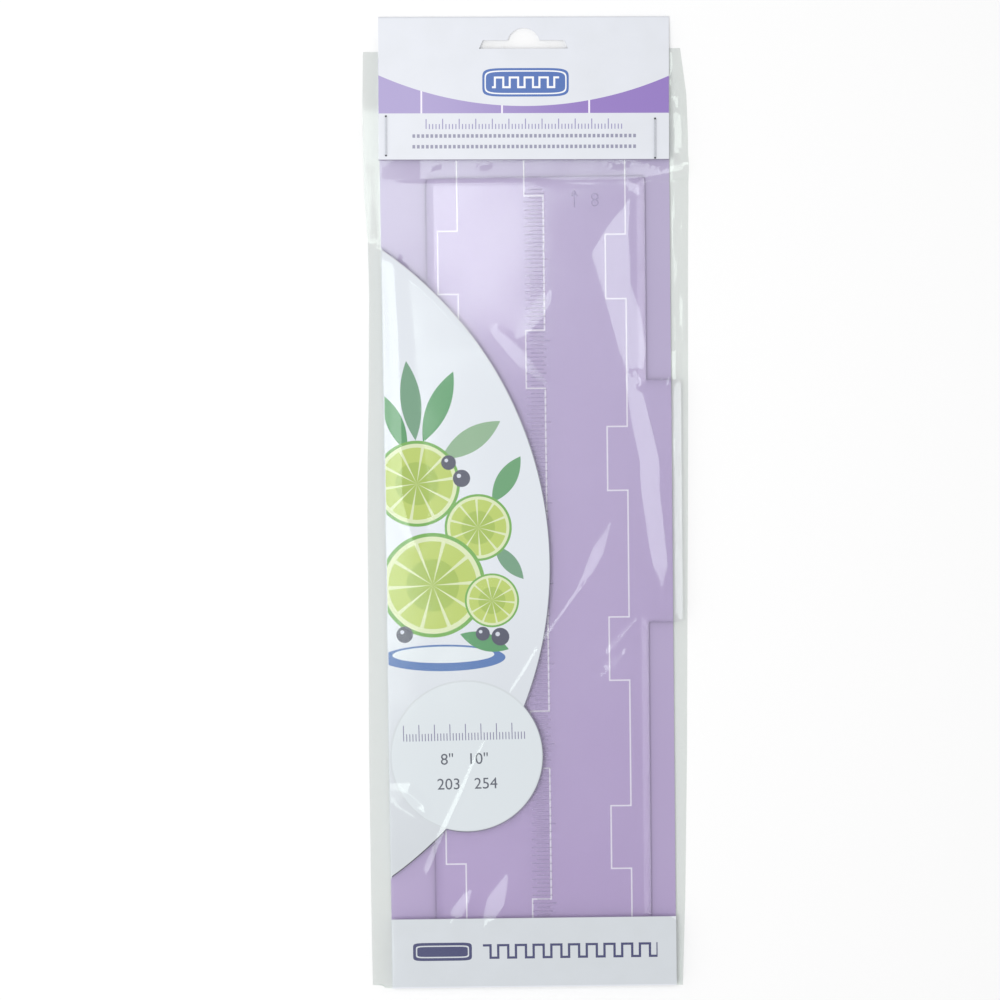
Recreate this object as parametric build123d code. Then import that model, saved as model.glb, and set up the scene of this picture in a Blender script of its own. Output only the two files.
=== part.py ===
from build123d import *
import os
from math import atan, ceil, cos, radians, sin

os.makedirs("parts", exist_ok=True)

# A cake side scraper in its retail pack, lying on its back. X is to the right, Y runs from the
# closed end of the bag to the header card, and Z is up, towards the printed front.
# Heights along the pack are measured from the closed end of the bag.

# Scraper plate
scraper_length = 254.0
scraper_width = 89.6   # over the steps of both edges
scraper_thickness = 2.0
scraper_offset = 3.5   # body's centre line from the bag's
scraper_rise = 2.0     # lower end from the closed end of the bag
slide_travel = 8.0
slide_clearance = 0.05
step_depth = 10.7
right_step_from_top = 63.5
right_step_length = 76.2
left_step_from_top = 82.55
left_step_length = 88.9
corner_radius = 1.6
bevel_width = 2.5
bevel_drop = 0.9

# Raised ruler and markings on the scraper
inch = 25.4
marks_per_inch = 20
mark_height = 0.15
mark_width = 0.38
mark_root = 0.1        # how far each mark is rooted in the plate
ruler_offset = -3.4    # left ends of the long marks from the body's centre line
long_mark = 6.4
short_mark = 4.0
short_mark_inset = 1.5
inch_mark = 7.6
digit_radius = 1.15
digit_line = 0.4
digit_from_top = 7.2
digit_offset = 18.6
arrow_length = 4.6
arrow_head = 2.2
arrow_offset = 12.2

# Folded insert card
insert_card = 0.4
insert_slack = 0.4     # card's width over the scraper's
insert_offset = 0.37
insert_rise = 0.7      # bottom fold from the closed end of the bag
insert_below_mouth = 2.3
flap_clearance = 0.1   # above the scraper's raised marks
arc_chord = 198.4
arc_reach = 51.6
arc_height = 135.3     # widest point of the arc, from the closed end of the bag
label_radius = 24.2
label_reach = 24.5     # disc's centre from the side fold
label_height = 74.7
bottom_flap_height = 22.1

# Folded header card
header_card = 0.45
header_height = 44.25
header_offset = 0.4
header_gap = 5.3       # from the scraper's upper end to the header's lower edge
header_skew = -0.6     # degrees, as it was stapled on
header_clearance = 0.06
fold_gap = 0.02        # between the two panels at the fold
slot_width = 27.6      # along its lower edge
slot_height = 2.6
slot_slant = 1.2       # how far each end leans in
slot_drop = 9.85       # slot's lower edge from the fold
slot_arch_radius = 5.1
slot_arch_rise = 1.3   # arch's centre above the slot's lower edge
film_step_gap = 0.9    # from the header's lower edge to the step in the back film
film_step_run = 0.8

# Staples
wire_width = 0.55
wire = 0.45
wire_bend = 0.4
crown_length = 12.7
foot_length = 3.6
left_staple_inset = 2.3    # from the header's side edge
left_staple_rise = 7.6     # staple's middle from the header's lower edge
right_staple_inset = 4.3
right_staple_rise = 6.7

# Film bag
bag_slack = 5.0        # from the card's side to the bag's, on either side
mouth_gap = 0.4        # from the bag's mouth to the slot above it
film = 0.08
side_margin = 0.4      # from the folded card or scraper to the roof's edge
end_margin = 0.2       # from the card's bottom fold to the roof's edge
roof_clearance = 0.02

# Levels in Z, from the back of the pack to its front
film_back_top = film
stack_base = header_card + film
insert_top = stack_base + insert_card
scraper_base = insert_top + slide_clearance
scraper_top = scraper_base + scraper_thickness
flap_base = scraper_top + mark_height + flap_clearance
flap_top = flap_base + insert_card
roof_base = flap_top + roof_clearance
roof_top = roof_base + film

# Widths and heights that follow from the sizes above
body_left = scraper_offset - scraper_width / 2 + step_depth
body_right = scraper_offset + scraper_width / 2 - step_depth
scraper_end = scraper_rise + scraper_length
insert_width = scraper_width + insert_slack
insert_left = insert_offset - insert_width / 2
insert_right = insert_offset + insert_width / 2
header_width = insert_width
header_rise = scraper_end + header_gap
slot_rise = header_height - slot_drop
bag_width = insert_width + 2 * bag_slack
bag_length = header_rise + slot_rise - mouth_gap
insert_end = bag_length - insert_below_mouth
header_middle = header_rise + header_height / 2
skew = radians(header_skew)
header_top = header_middle + header_height / 2 * cos(skew) + header_width / 2 * abs(sin(skew))
shift = Pos(0, -header_top / 2, 0)
overrun = 5.0
touch = 0.01           # how near counts as the same place


def slab(x0, x1, y0, y1, z0, z1):
    """A box between two corners."""
    return Pos((x0 + x1) / 2, (y0 + y1) / 2, (z0 + z1) / 2) * Box(x1 - x0, y1 - y0, z1 - z0)


def across(points, x0, x1):
    """A profile of (y, z) points, drawn out from x0 to x1."""
    face = make_face(Polyline(*[(0, y, z) for y, z in points], close=True))
    return Pos(x0, 0, 0) * extrude(face, amount=x1 - x0, dir=(1, 0, 0))


# Scraper

def scraper_outline(rounded):
    """The plate's outline: a long body with one long step on each working edge."""
    right_top = scraper_end - right_step_from_top
    right_bottom = right_top - right_step_length
    left_top = scraper_end - left_step_from_top
    left_bottom = left_top - left_step_length
    wide_right = body_right + step_depth
    wide_left = body_left - step_depth
    corners = [
        (body_left, scraper_rise), (body_right, scraper_rise),
        (body_right, right_bottom), (wide_right, right_bottom),
        (wide_right, right_top), (body_right, right_top),
        (body_right, scraper_end), (body_left, scraper_end),
        (body_left, left_top), (wide_left, left_top),
        (wide_left, left_bottom), (body_left, left_bottom),
    ]
    face = make_face(Polyline(*corners, close=True))
    if not rounded:
        return face
    tips = [v for v in face.vertices() if not wide_left + touch < v.X < wide_right - touch]
    ends = [v for v in face.vertices() if not scraper_rise + touch < v.Y < scraper_end - touch]
    return fillet(tips + ends, radius=corner_radius)


def ruler():
    """Raised marks, twenty to the inch, read from the header end."""
    left = scraper_offset + ruler_offset
    pitch = inch / marks_per_inch
    clear = bevel_width + mark_width
    marks = []
    for n in range(ceil(clear / pitch), int((scraper_length - clear) / pitch) + 1):
        x0 = left
        x1 = left + long_mark
        if n % marks_per_inch == 0:
            x1 = left + inch_mark
        elif n % 2:
            x0 = left + short_mark_inset
            x1 = x0 + short_mark
        y = scraper_end - n * pitch
        z1 = scraper_top + mark_height
        marks.append(slab(x0, x1, y - mark_width / 2, y + mark_width / 2, scraper_top - mark_root, z1))
    return marks


def size_mark():
    """A raised figure 8 and an arrow that points to the header end, as two rings and a stroke."""
    y = scraper_end - digit_from_top
    tall = mark_height + mark_root
    z = scraper_top - mark_root
    x = scraper_offset + digit_offset
    rise = digit_radius - digit_line / 2
    loops = Circle(digit_radius) - Circle(digit_radius - digit_line)
    figure = Pos(x, y - rise, z) * loops + Pos(x, y + rise, z) * loops
    x = scraper_offset + arrow_offset
    tip = y + (arrow_length + arrow_head) / 2
    low = tip - arrow_head
    head = make_face(Polyline(
        (x, tip, z), (x - arrow_head / 2, low, z), (x + arrow_head / 2, low, z), close=True))
    stem = Pos(x, y, z) * Rectangle(digit_line, arrow_length)
    return [extrude(figure, amount=tall, dir=(0, 0, 1)), extrude(head + stem, amount=tall, dir=(0, 0, 1))]


def make_scraper():
    base = Pos(0, 0, scraper_base)
    plate = extrude(base * scraper_outline(rounded=False), amount=scraper_thickness, dir=(0, 0, 1))
    top = plate.faces().sort_by(Axis.Z)[-1]
    plate = chamfer(top.outer_wire().edges(), length=bevel_width, length2=bevel_drop, reference=top)
    plate = plate & extrude(base * scraper_outline(rounded=True), amount=scraper_thickness, dir=(0, 0, 1))
    return plate + ruler() + size_mark()


# Staples

front_slope = (flap_top + film + roof_clearance + header_clearance - header_card - fold_gap) / (
    header_height - header_card)


def panel_base(v):
    """Height of the header's front panel, v above its lower edge, on its inner face."""
    return header_card + fold_gap + front_slope * (header_height - header_card - v)


def header_place():
    """Where the header and its staples sit: turned a little, about the header's middle."""
    return Pos(header_offset, header_middle, 0) * Rot(0, 0, header_skew) * Pos(0, -header_height / 2, 0)


def make_staple(x, v):
    low = v - crown_length / 2 + wire / 2
    high = v + crown_length / 2 - wire / 2
    lift = header_card / cos(atan(front_slope)) + wire / 2
    foot = wire / 2
    path = FilletPolyline(
        (low + foot_length, foot), (low, foot), (low, panel_base(low) + lift),
        (high, panel_base(high) + lift), (high, foot), (high - foot_length, foot),
        radius=wire_bend)
    flat = trace(path, line_width=wire)
    solid = extrude(Plane.YZ * flat, amount=wire_width / 2, both=True)
    return header_place() * Pos(x, 0, 0) * solid


staples = {
    "staple_left": make_staple(left_staple_inset - header_width / 2, left_staple_rise),
    "staple_right": make_staple(header_width / 2 - right_staple_inset, right_staple_rise),
}
wires = list(staples.values())

# Folded insert card

fold_top = arc_height + arc_chord / 2
fold_bottom = arc_height - arc_chord / 2


def make_insert():
    back = slab(insert_left, insert_right, insert_rise + insert_card, insert_end, stack_base, insert_top)
    side = slab(insert_left, insert_left + insert_card, fold_bottom, fold_top, insert_top, flap_top)
    arc_radius = ((arc_chord / 2) ** 2 + arc_reach ** 2) / (2 * arc_reach)
    disc = Pos(insert_left + arc_reach - arc_radius, arc_height) * Circle(arc_radius)
    label = Pos(insert_left + label_reach, label_height) * Circle(label_radius)
    window = Pos(insert_left + insert_card, arc_height) * Rectangle(
        insert_width, 2 * arc_chord, align=(Align.MIN, Align.CENTER))
    flap = (disc + label) & window
    arc = extrude(Pos(0, 0, flap_base) * flap, amount=insert_card, dir=(0, 0, 1))
    low = insert_rise + insert_card
    end = slab(insert_left, insert_right, insert_rise, low, stack_base, flap_top)
    pocket = slab(insert_left, insert_right, low, insert_rise + bottom_flap_height, flap_base, flap_top)
    return {
        "insert_back_panel": back - wires,
        "insert_side_fold": side,
        "insert_arc_flap": arc,
        "insert_bottom_fold": end,
        "insert_bottom_flap": pocket,
    }


# Folded header card

def hang_slot():
    """A long slot with slanted ends and an arch over its middle, from the header's lower edge."""
    half = slot_width / 2
    low = slot_rise
    high = slot_rise + slot_height
    long_slot = make_face(Polyline(
        (-half, low), (half, low), (half - slot_slant, high), (-half + slot_slant, high), close=True))
    arch = Pos(0, low + slot_arch_rise) * Circle(slot_arch_radius)
    above = Pos(0, low) * Rectangle(
        2 * slot_arch_radius, 2 * slot_arch_radius, align=(Align.CENTER, Align.MIN))
    return extrude(Pos(0, 0, -overrun) * (long_slot + (arch & above)), amount=3 * overrun, dir=(0, 0, 1))


def make_header():
    half = header_width / 2
    end = header_height - header_card - fold_gap / 2
    slot = hang_slot()
    rise = header_card / cos(atan(front_slope))
    back = slab(-half, half, 0, end, 0, header_card)
    front = across([
        (0, panel_base(0)), (end, panel_base(end)),
        (end, panel_base(end) + rise), (0, panel_base(0) + rise)], -half, half)
    roll = header_card + fold_gap / 2
    strip = Pos(0, end, roll) * Rot(0, 90, 0) * Cylinder(roll, header_width)
    strip = strip & slab(-half, half, end, header_height, 0, 2 * roll)
    place = header_place()
    return {
        "header_back_panel": place * (back - slot) - wires,
        "header_front_panel": place * (front - slot) - wires,
        "header_fold": place * strip,
    }


# Film bag

def make_bag():
    half = bag_width / 2
    step_end = header_rise - film_step_gap
    step_start = step_end - film_step_run
    back = across([
        (0, 0), (step_start, 0), (step_end, header_card), (bag_length, header_card),
        (bag_length, stack_base), (step_end, stack_base), (step_start, film_back_top),
        (0, film_back_top)], -half, half)

    roof_left = insert_left - side_margin
    roof_right = body_right + step_depth + side_margin
    left_lean = (half + roof_left) / (roof_top - film_back_top)
    right_lean = (half - roof_right) / (roof_top - film_back_top)
    roof_start = insert_rise - end_margin
    end_lean = roof_start / (roof_top - film_back_top)
    mouth = insert_end - roof_clearance
    low = film_back_top - overrun
    drop = overrun
    section = [
        (-half - left_lean * drop, low), (half + right_lean * drop, low),
        (roof_right, roof_top), (roof_left, roof_top)]
    profile = [
        (-end_lean * drop, low), (roof_start, roof_top), (header_rise, roof_top),
        (mouth, insert_top + film), (bag_length + overrun, insert_top + film),
        (bag_length + overrun, low)]

    def tent(inset):
        cross = make_face(Polyline(*[(x, z) for x, z in section], close=True))
        side = make_face(Polyline(*[(y, z) for y, z in profile], close=True))
        if inset:
            cross = offset(cross, amount=-inset, kind=Kind.INTERSECTION)
            side = offset(side, amount=-inset, kind=Kind.INTERSECTION)
        width = extrude(Plane.XZ * cross, amount=2 * bag_length, both=True)
        length = extrude(Plane.YZ * side, amount=bag_width, both=True)
        return width & length

    tail = bag_length + 2 * overrun
    under = across([
        (-overrun, low - overrun), (-overrun, film_back_top), (step_start, film_back_top),
        (step_end, stack_base), (tail, stack_base), (tail, low - overrun)], -bag_width, bag_width)
    beyond = slab(-bag_width, bag_width, bag_length, tail, low, roof_top + overrun)
    front = tent(0) - tent(film) - under - beyond
    return {"bag_back_film": back - wires, "bag_front_film": front - wires}


nodes = {"scraper": make_scraper()}
nodes.update(make_insert())
nodes.update(make_header())
nodes.update(make_bag())
nodes.update(staples)

for name, shape in nodes.items():
    export_step(shift * shape, f"parts/{name}.step")

print("pack length", round(header_top, 3))
print("room above the scraper at its limit", round(bag_length - scraper_end - slide_travel, 3))
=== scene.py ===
import math

import bpy
import numpy as np
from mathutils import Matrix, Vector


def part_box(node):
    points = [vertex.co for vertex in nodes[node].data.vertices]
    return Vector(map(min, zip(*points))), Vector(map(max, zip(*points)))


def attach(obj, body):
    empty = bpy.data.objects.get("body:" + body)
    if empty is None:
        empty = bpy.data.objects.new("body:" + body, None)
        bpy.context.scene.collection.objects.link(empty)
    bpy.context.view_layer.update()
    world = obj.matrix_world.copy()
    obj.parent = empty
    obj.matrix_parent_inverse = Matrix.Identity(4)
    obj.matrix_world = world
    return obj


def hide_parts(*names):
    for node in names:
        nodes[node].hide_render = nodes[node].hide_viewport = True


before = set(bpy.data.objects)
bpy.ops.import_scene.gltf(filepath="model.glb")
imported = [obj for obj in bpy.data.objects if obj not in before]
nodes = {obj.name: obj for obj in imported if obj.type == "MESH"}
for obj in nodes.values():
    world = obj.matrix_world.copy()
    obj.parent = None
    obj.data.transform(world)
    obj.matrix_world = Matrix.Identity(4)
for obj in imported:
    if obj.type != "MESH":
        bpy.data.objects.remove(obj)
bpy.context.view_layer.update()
mm = 0.001
bpy.ops.object.select_all(action="DESELECT")
print("frame loaded:", len(nodes), "CAD nodes")


def srgb(code):
    # an sRGB hex colour as the linear values that shaders take
    parts = [int(code[i:i + 2], 16) / 255 for i in (1, 3, 5)]
    return tuple(c / 12.92 if c <= 0.04045 else ((c + 0.055) / 1.055) ** 2.4 for c in parts) + (1,)


def newMaterial(name):
    mat = bpy.data.materials.new(name)
    mat.use_nodes = True
    mat.node_tree.nodes.clear()
    return mat


def addNode(mat, kind, inputs=None, **settings):
    # one node, its settings, and its inputs as values or as links from other nodes
    node = mat.node_tree.nodes.new(kind)
    for name, value in settings.items():
        setattr(node, name, value)
    for key, value in (inputs or {}).items():
        if isinstance(value, bpy.types.NodeSocket):
            mat.node_tree.links.new(value, node.inputs[key])
        else:
            node.inputs[key].default_value = value
    return node


def overlay(mat, under, mask, ink):
    # lays an ink over a colour where the mask is 1
    mix = addNode(mat, "ShaderNodeMix", {0: mask, 6: under, 7: ink}, data_type="RGBA")
    return mix.outputs[2]


# Print shapes in millimetres, seen from the front of the card

def place(mat, centre, half, turn=0):
    # object coordinates as -1 to 1 over a shape's own box
    coords = addNode(mat, "ShaderNodeTexCoord")
    mapping = addNode(mat, "ShaderNodeMapping", {
        "Vector": coords.outputs["Object"],
        "Location": (centre[0] * mm, centre[1] * mm, 0),
        "Rotation": (0, 0, math.radians(turn)),
        "Scale": (half[0] * mm, half[1] * mm, 1)}, vector_type="TEXTURE")
    return mapping.outputs[0]


def discMask(mat, centre, half, turn=0):
    away = addNode(mat, "ShaderNodeVectorMath", {0: place(mat, centre, half, turn)}, operation="LENGTH")
    return addNode(mat, "ShaderNodeMath", {0: away.outputs["Value"], 1: 1.0}, operation="LESS_THAN").outputs[0]


def leafMask(mat, centre, half, turn=0):
    # pointed at both ends of its own Y axis
    size = addNode(mat, "ShaderNodeVectorMath", {0: place(mat, centre, half, turn)}, operation="ABSOLUTE")
    axes = addNode(mat, "ShaderNodeSeparateXYZ", {0: size.outputs[0]})
    curve = addNode(mat, "ShaderNodeMath", {0: axes.outputs[1], 1: axes.outputs[1], 2: axes.outputs[0]},
                    operation="MULTIPLY_ADD")
    return addNode(mat, "ShaderNodeMath", {0: curve.outputs[0], 1: 1.0}, operation="LESS_THAN").outputs[0]


def barMask(mat, centre, half, turn=0, roundness=40):
    # a bar whose corners are rounder as roundness falls towards 2
    size = addNode(mat, "ShaderNodeVectorMath", {0: place(mat, centre, half, turn)}, operation="ABSOLUTE")
    axes = addNode(mat, "ShaderNodeSeparateXYZ", {0: size.outputs[0]})
    along = addNode(mat, "ShaderNodeMath", {0: axes.outputs[0], 1: roundness}, operation="POWER")
    across = addNode(mat, "ShaderNodeMath", {0: axes.outputs[1], 1: roundness}, operation="POWER")
    both = addNode(mat, "ShaderNodeMath", {0: along.outputs[0], 1: across.outputs[0]}, operation="ADD")
    return addNode(mat, "ShaderNodeMath", {0: both.outputs[0], 1: 1.0}, operation="LESS_THAN").outputs[0]


def tickMask(mat, centre, half, turn, count, share, shortTop):
    # a row of ruler ticks on a shared base line, every fifth one full height
    spot = place(mat, centre, half, turn)
    axes = addNode(mat, "ShaderNodeSeparateXYZ", {0: spot})
    tall = addNode(mat, "ShaderNodeMath", {0: axes.outputs[0], 1: count / 10}, operation="MULTIPLY")
    tallPart = addNode(mat, "ShaderNodeMath", {0: tall.outputs[0]}, operation="FRACT")
    isTall = addNode(mat, "ShaderNodeMath", {0: tallPart.outputs[0], 1: share / 5}, operation="LESS_THAN")
    every = addNode(mat, "ShaderNodeMath", {0: axes.outputs[0], 1: count / 2}, operation="MULTIPLY")
    everyPart = addNode(mat, "ShaderNodeMath", {0: every.outputs[0]}, operation="FRACT")
    isTick = addNode(mat, "ShaderNodeMath", {0: everyPart.outputs[0], 1: share}, operation="LESS_THAN")
    low = addNode(mat, "ShaderNodeMath", {0: axes.outputs[1], 1: shortTop}, operation="LESS_THAN")
    shown = addNode(mat, "ShaderNodeMath", {0: low.outputs[0], 1: isTall.outputs[0]}, operation="MAXIMUM")
    ticks = addNode(mat, "ShaderNodeMath", {0: shown.outputs[0], 1: isTick.outputs[0]}, operation="MULTIPLY")
    inside = barMask(mat, centre, half, turn)
    return addNode(mat, "ShaderNodeMath", {0: ticks.outputs[0], 1: inside}, operation="MULTIPLY").outputs[0]


def steppedLineMask(mat, spot, outer, inner, start, length, pitch, line):
    # a thin line along Y that steps between two places: inner for length, then outer, each pitch
    axes = addNode(mat, "ShaderNodeSeparateXYZ", {0: spot})
    shifted = addNode(mat, "ShaderNodeMath", {0: axes.outputs[1], 1: start}, operation="SUBTRACT")
    turns = addNode(mat, "ShaderNodeMath", {0: shifted.outputs[0], 1: pitch}, operation="FLOORED_MODULO")
    isInner = addNode(mat, "ShaderNodeMath", {0: turns.outputs[0], 1: length}, operation="LESS_THAN")
    run = addNode(mat, "ShaderNodeMix", {0: isInner.outputs[0], 2: outer, 3: inner}, data_type="FLOAT")
    onRun = addNode(mat, "ShaderNodeMath", {0: axes.outputs[0], 1: run.outputs[0], 2: line / 2}, operation="COMPARE")
    middle = (outer + inner) / 2
    reach = abs(outer - inner) / 2 + line / 2
    onStep = addNode(mat, "ShaderNodeMath", {0: axes.outputs[0], 1: middle, 2: reach}, operation="COMPARE")
    startStep = addNode(mat, "ShaderNodeMath", {0: turns.outputs[0], 1: line / 2, 2: line / 2}, operation="COMPARE")
    endStep = addNode(mat, "ShaderNodeMath", {0: turns.outputs[0], 1: length, 2: line / 2}, operation="COMPARE")
    either = addNode(mat, "ShaderNodeMath", {0: startStep.outputs[0], 1: endStep.outputs[0]}, operation="MAXIMUM")
    steps = addNode(mat, "ShaderNodeMath", {0: either.outputs[0], 1: onStep.outputs[0]}, operation="MULTIPLY")
    return addNode(mat, "ShaderNodeMath", {0: onRun.outputs[0], 1: steps.outputs[0]}, operation="MAXIMUM").outputs[0]


def limeSlice(mat, under, centre, radius, turn):
    # rind, pith and ten wedges of pulp
    inks = flapPrint["limeInks"]
    colour = overlay(mat, under, discMask(mat, centre, (radius, radius)), srgb(inks["rind"]))
    colour = overlay(mat, colour, discMask(mat, centre, (radius * 0.93, radius * 0.93)), srgb(inks["pith"]))
    axes = addNode(mat, "ShaderNodeSeparateXYZ", {0: place(mat, centre, (radius, radius), turn)})
    angle = addNode(mat, "ShaderNodeMath", {0: axes.outputs[1], 1: axes.outputs[0]}, operation="ARCTAN2")
    wedge = addNode(mat, "ShaderNodeMath", {0: angle.outputs[0], 1: 10 / math.tau}, operation="MULTIPLY")
    part = addNode(mat, "ShaderNodeMath", {0: wedge.outputs[0]}, operation="FRACT")
    inWedge = addNode(mat, "ShaderNodeMath", {0: part.outputs[0], 1: 0.5, 2: 0.43}, operation="COMPARE")
    disc = discMask(mat, centre, (radius * 0.84, radius * 0.84))
    pulp = addNode(mat, "ShaderNodeMath", {0: inWedge.outputs[0], 1: disc}, operation="MULTIPLY")
    colour = overlay(mat, colour, pulp.outputs[0], srgb(inks["pulp"]))
    inner = discMask(mat, centre, (radius * 0.5, radius * 0.5))
    deep = addNode(mat, "ShaderNodeMath", {0: pulp.outputs[0], 1: inner}, operation="MULTIPLY")
    return overlay(mat, colour, deep.outputs[0], srgb(inks["core"]))


# Cards

board = {
    "white": "#E0E3EB",        # clay coated side
    "fibre": "#D8DBE1",        # uncoated cut edges
    "paintedEdgeShadow": "#7F7991",      # painted shadow along the die-cut rims, where the card stands off what lies below
    "edgeShadowWidth": 0.3,
    "roughness": 0.42,
    "mottle": 9.0,             # mm between cloudy patches of the coating
    "tooth": 0.35,             # mm, grain of the surface
    "toothDepth": 0.012,
}


def cardMaterial(name):
    # folding boxboard, clay coated and varnished: a satin white with faint clouds
    mat = newMaterial(name)
    coords = addNode(mat, "ShaderNodeTexCoord")
    clouds = addNode(mat, "ShaderNodeTexNoise", {
        "Vector": coords.outputs["Object"], "Scale": 1 / (board["mottle"] * mm), "Detail": 3})
    tint = addNode(mat, "ShaderNodeMix", {
        0: clouds.outputs["Fac"], 6: srgb(board["white"]), 7: srgb(board["fibre"])}, data_type="RGBA")
    return mat, tint.outputs[2]


def finishCard(mat, colour, roughness=board["roughness"]):
    coords = addNode(mat, "ShaderNodeTexCoord")
    grain = addNode(mat, "ShaderNodeTexNoise", {
        "Vector": coords.outputs["Object"], "Scale": 1 / (board["tooth"] * mm), "Detail": 2})
    bump = addNode(mat, "ShaderNodeBump", {
        "Strength": 0.25, "Distance": board["toothDepth"] * mm, "Height": grain.outputs["Fac"]})
    shader = addNode(mat, "ShaderNodeBsdfPrincipled", {
        "Base Color": colour, "Roughness": roughness, "IOR": 1.47, "Normal": bump.outputs[0]})
    addNode(mat, "ShaderNodeOutputMaterial", {"Surface": shader.outputs[0]})
    return mat


def frontOnly(mat, printed, bare, up=1):
    # print on the side that faces up (or down), bare card on the other side and the cut edges
    shape = addNode(mat, "ShaderNodeNewGeometry")
    axes = addNode(mat, "ShaderNodeSeparateXYZ", {0: shape.outputs["Normal"]})
    facing = addNode(mat, "ShaderNodeMath", {0: axes.outputs[2], 1: up}, operation="MULTIPLY")
    mask = addNode(mat, "ShaderNodeMath", {0: facing.outputs[0], 1: 0.5}, operation="GREATER_THAN")
    return overlay(mat, bare, mask.outputs[0], printed)


insertPrint = {
    "lilac": "#BDAFD4",
    "lilacShade": "#B59FCD",   # darker towards the foot
    "shadeFrom": 105.0,        # mm, how high up it starts to darken
    "shadeTo": -150.0,
    "line": "#EAE6F2",
    "roughness": 0.3,      # varnished over the print
    "lineWidth": 0.46,
    "pitch": 60.0,
    # outer place, inner place, start and length of an inner run, all in mm
    "lines": [(-20.8, -27.0, 6.7, 19.8), (6.0, 0.1, -23.0, 18.4), (31.5, 25.2, 4.7, 20.3)],
}


def lilacCard(name, up):
    mat, white = cardMaterial(name)
    coords = addNode(mat, "ShaderNodeTexCoord")
    cloud = addNode(mat, "ShaderNodeTexNoise", {
        "Vector": coords.outputs["Object"], "Scale": 1 / (30 * mm), "Detail": 2})
    spot = place(mat, (0, 0), (1, 1))
    axes = addNode(mat, "ShaderNodeSeparateXYZ", {0: spot})
    down = addNode(mat, "ShaderNodeMapRange", {
        "Value": axes.outputs[1], "From Min": insertPrint["shadeFrom"], "From Max": insertPrint["shadeTo"]})
    patchy = addNode(mat, "ShaderNodeMath", {
        0: cloud.outputs["Fac"], 1: 0.3, 2: down.outputs[0]}, operation="MULTIPLY_ADD")
    share = addNode(mat, "ShaderNodeMath", {0: patchy.outputs[0], 1: 0.15}, operation="SUBTRACT", use_clamp=True)
    colour = addNode(mat, "ShaderNodeMix", {
        0: share.outputs[0], 6: srgb(insertPrint["lilac"]), 7: srgb(insertPrint["lilacShade"])},
        data_type="RGBA").outputs[2]
    for outer, inner, start, length in insertPrint["lines"]:
        mask = steppedLineMask(mat, spot, outer, inner, start, length,
                               insertPrint["pitch"], insertPrint["lineWidth"])
        colour = overlay(mat, colour, mask, srgb(insertPrint["line"]))
    return finishCard(mat, frontOnly(mat, colour, white, up), insertPrint["roughness"])


# The printed design of limes, leaves and berries: shape, centre, half size, turn, ink
flapPrint = {
    "dish": ((-27.0, -47.0), (19.5, 4.2), "#4A74B8"),
    "dishRim": ((-27.0, -46.0), (16.0, 2.6), "#E9EEF4"),
    "limes": [((-34.5, 8.0), 13.5, 8), ((-15.5, -6.0), 10.5, 21), ((-30.0, -24.0), 16.5, 3),
              ((-11.5, -29.0), 8.5, 30)],
    "limeInks": {"rind": "#6FAE45", "pith": "#E3ECBE", "pulp": "#BFD25F", "core": "#A9C24C"},
    "leaves":[((-36.0, 34.0), (3.2, 12.5), 6, "#6E9E7E"), ((-27.5, 32.0), (3.4, 12.0), -24, "#4E9A60"),
               ((-17.5, 21.5), (3.6, 11.0), -58, "#8FB48F"), ((-41.0, 27.0), (2.6, 9.5), 22, "#4E9A60"),
               ((-6.5, 9.0), (3.0, 8.5), -32, "#5FA06A"), ((-6.0, -17.0), (2.4, 7.0), 40, "#6E9E7E"),
               ((-14.0, -42.0), (2.8, 8.0), 72, "#4E9A60")],
    "berries": [((-20.5, 9.5), 2.7), ((-24.5, 14.5), 2.3), ((-9.0, -40.5), 2.8), ((-14.5, -39.5), 2.2),
                ((-39.0, -39.5), 2.6)],
    "berry": "#44445F",
    "berryGlint": "#D9DCEA",
    "white": "#E9ECF5",        # brighter than the other card, and greyer towards the foot
    "whiteFoot": "#D7DAE1",
    "greyFrom": -15.0,
    "greyTo": -115.0,
    "disc": ((-20.1, -78.3), 23.6, "#E4E9EF"),
    "discEdge": "#D9DDE3",
    "ticks": ((-20.5, -70.6), (19.5, 2.6), "#77709A"),
    # centre and radius of the flap's two die-cut curves
    "arcCut": ((-114.18, -17.71), 121.15),
    "discCut": ((-20.13, -78.31), 24.2),
    # the painted rim shadow is paler towards the top and dark at the very foot: where from, where to, ink
    "paintedRimShadows": [(0.0, 45.0, "#D5D3DC"), (-101.0, -106.0, "#221E33")],
}


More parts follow.
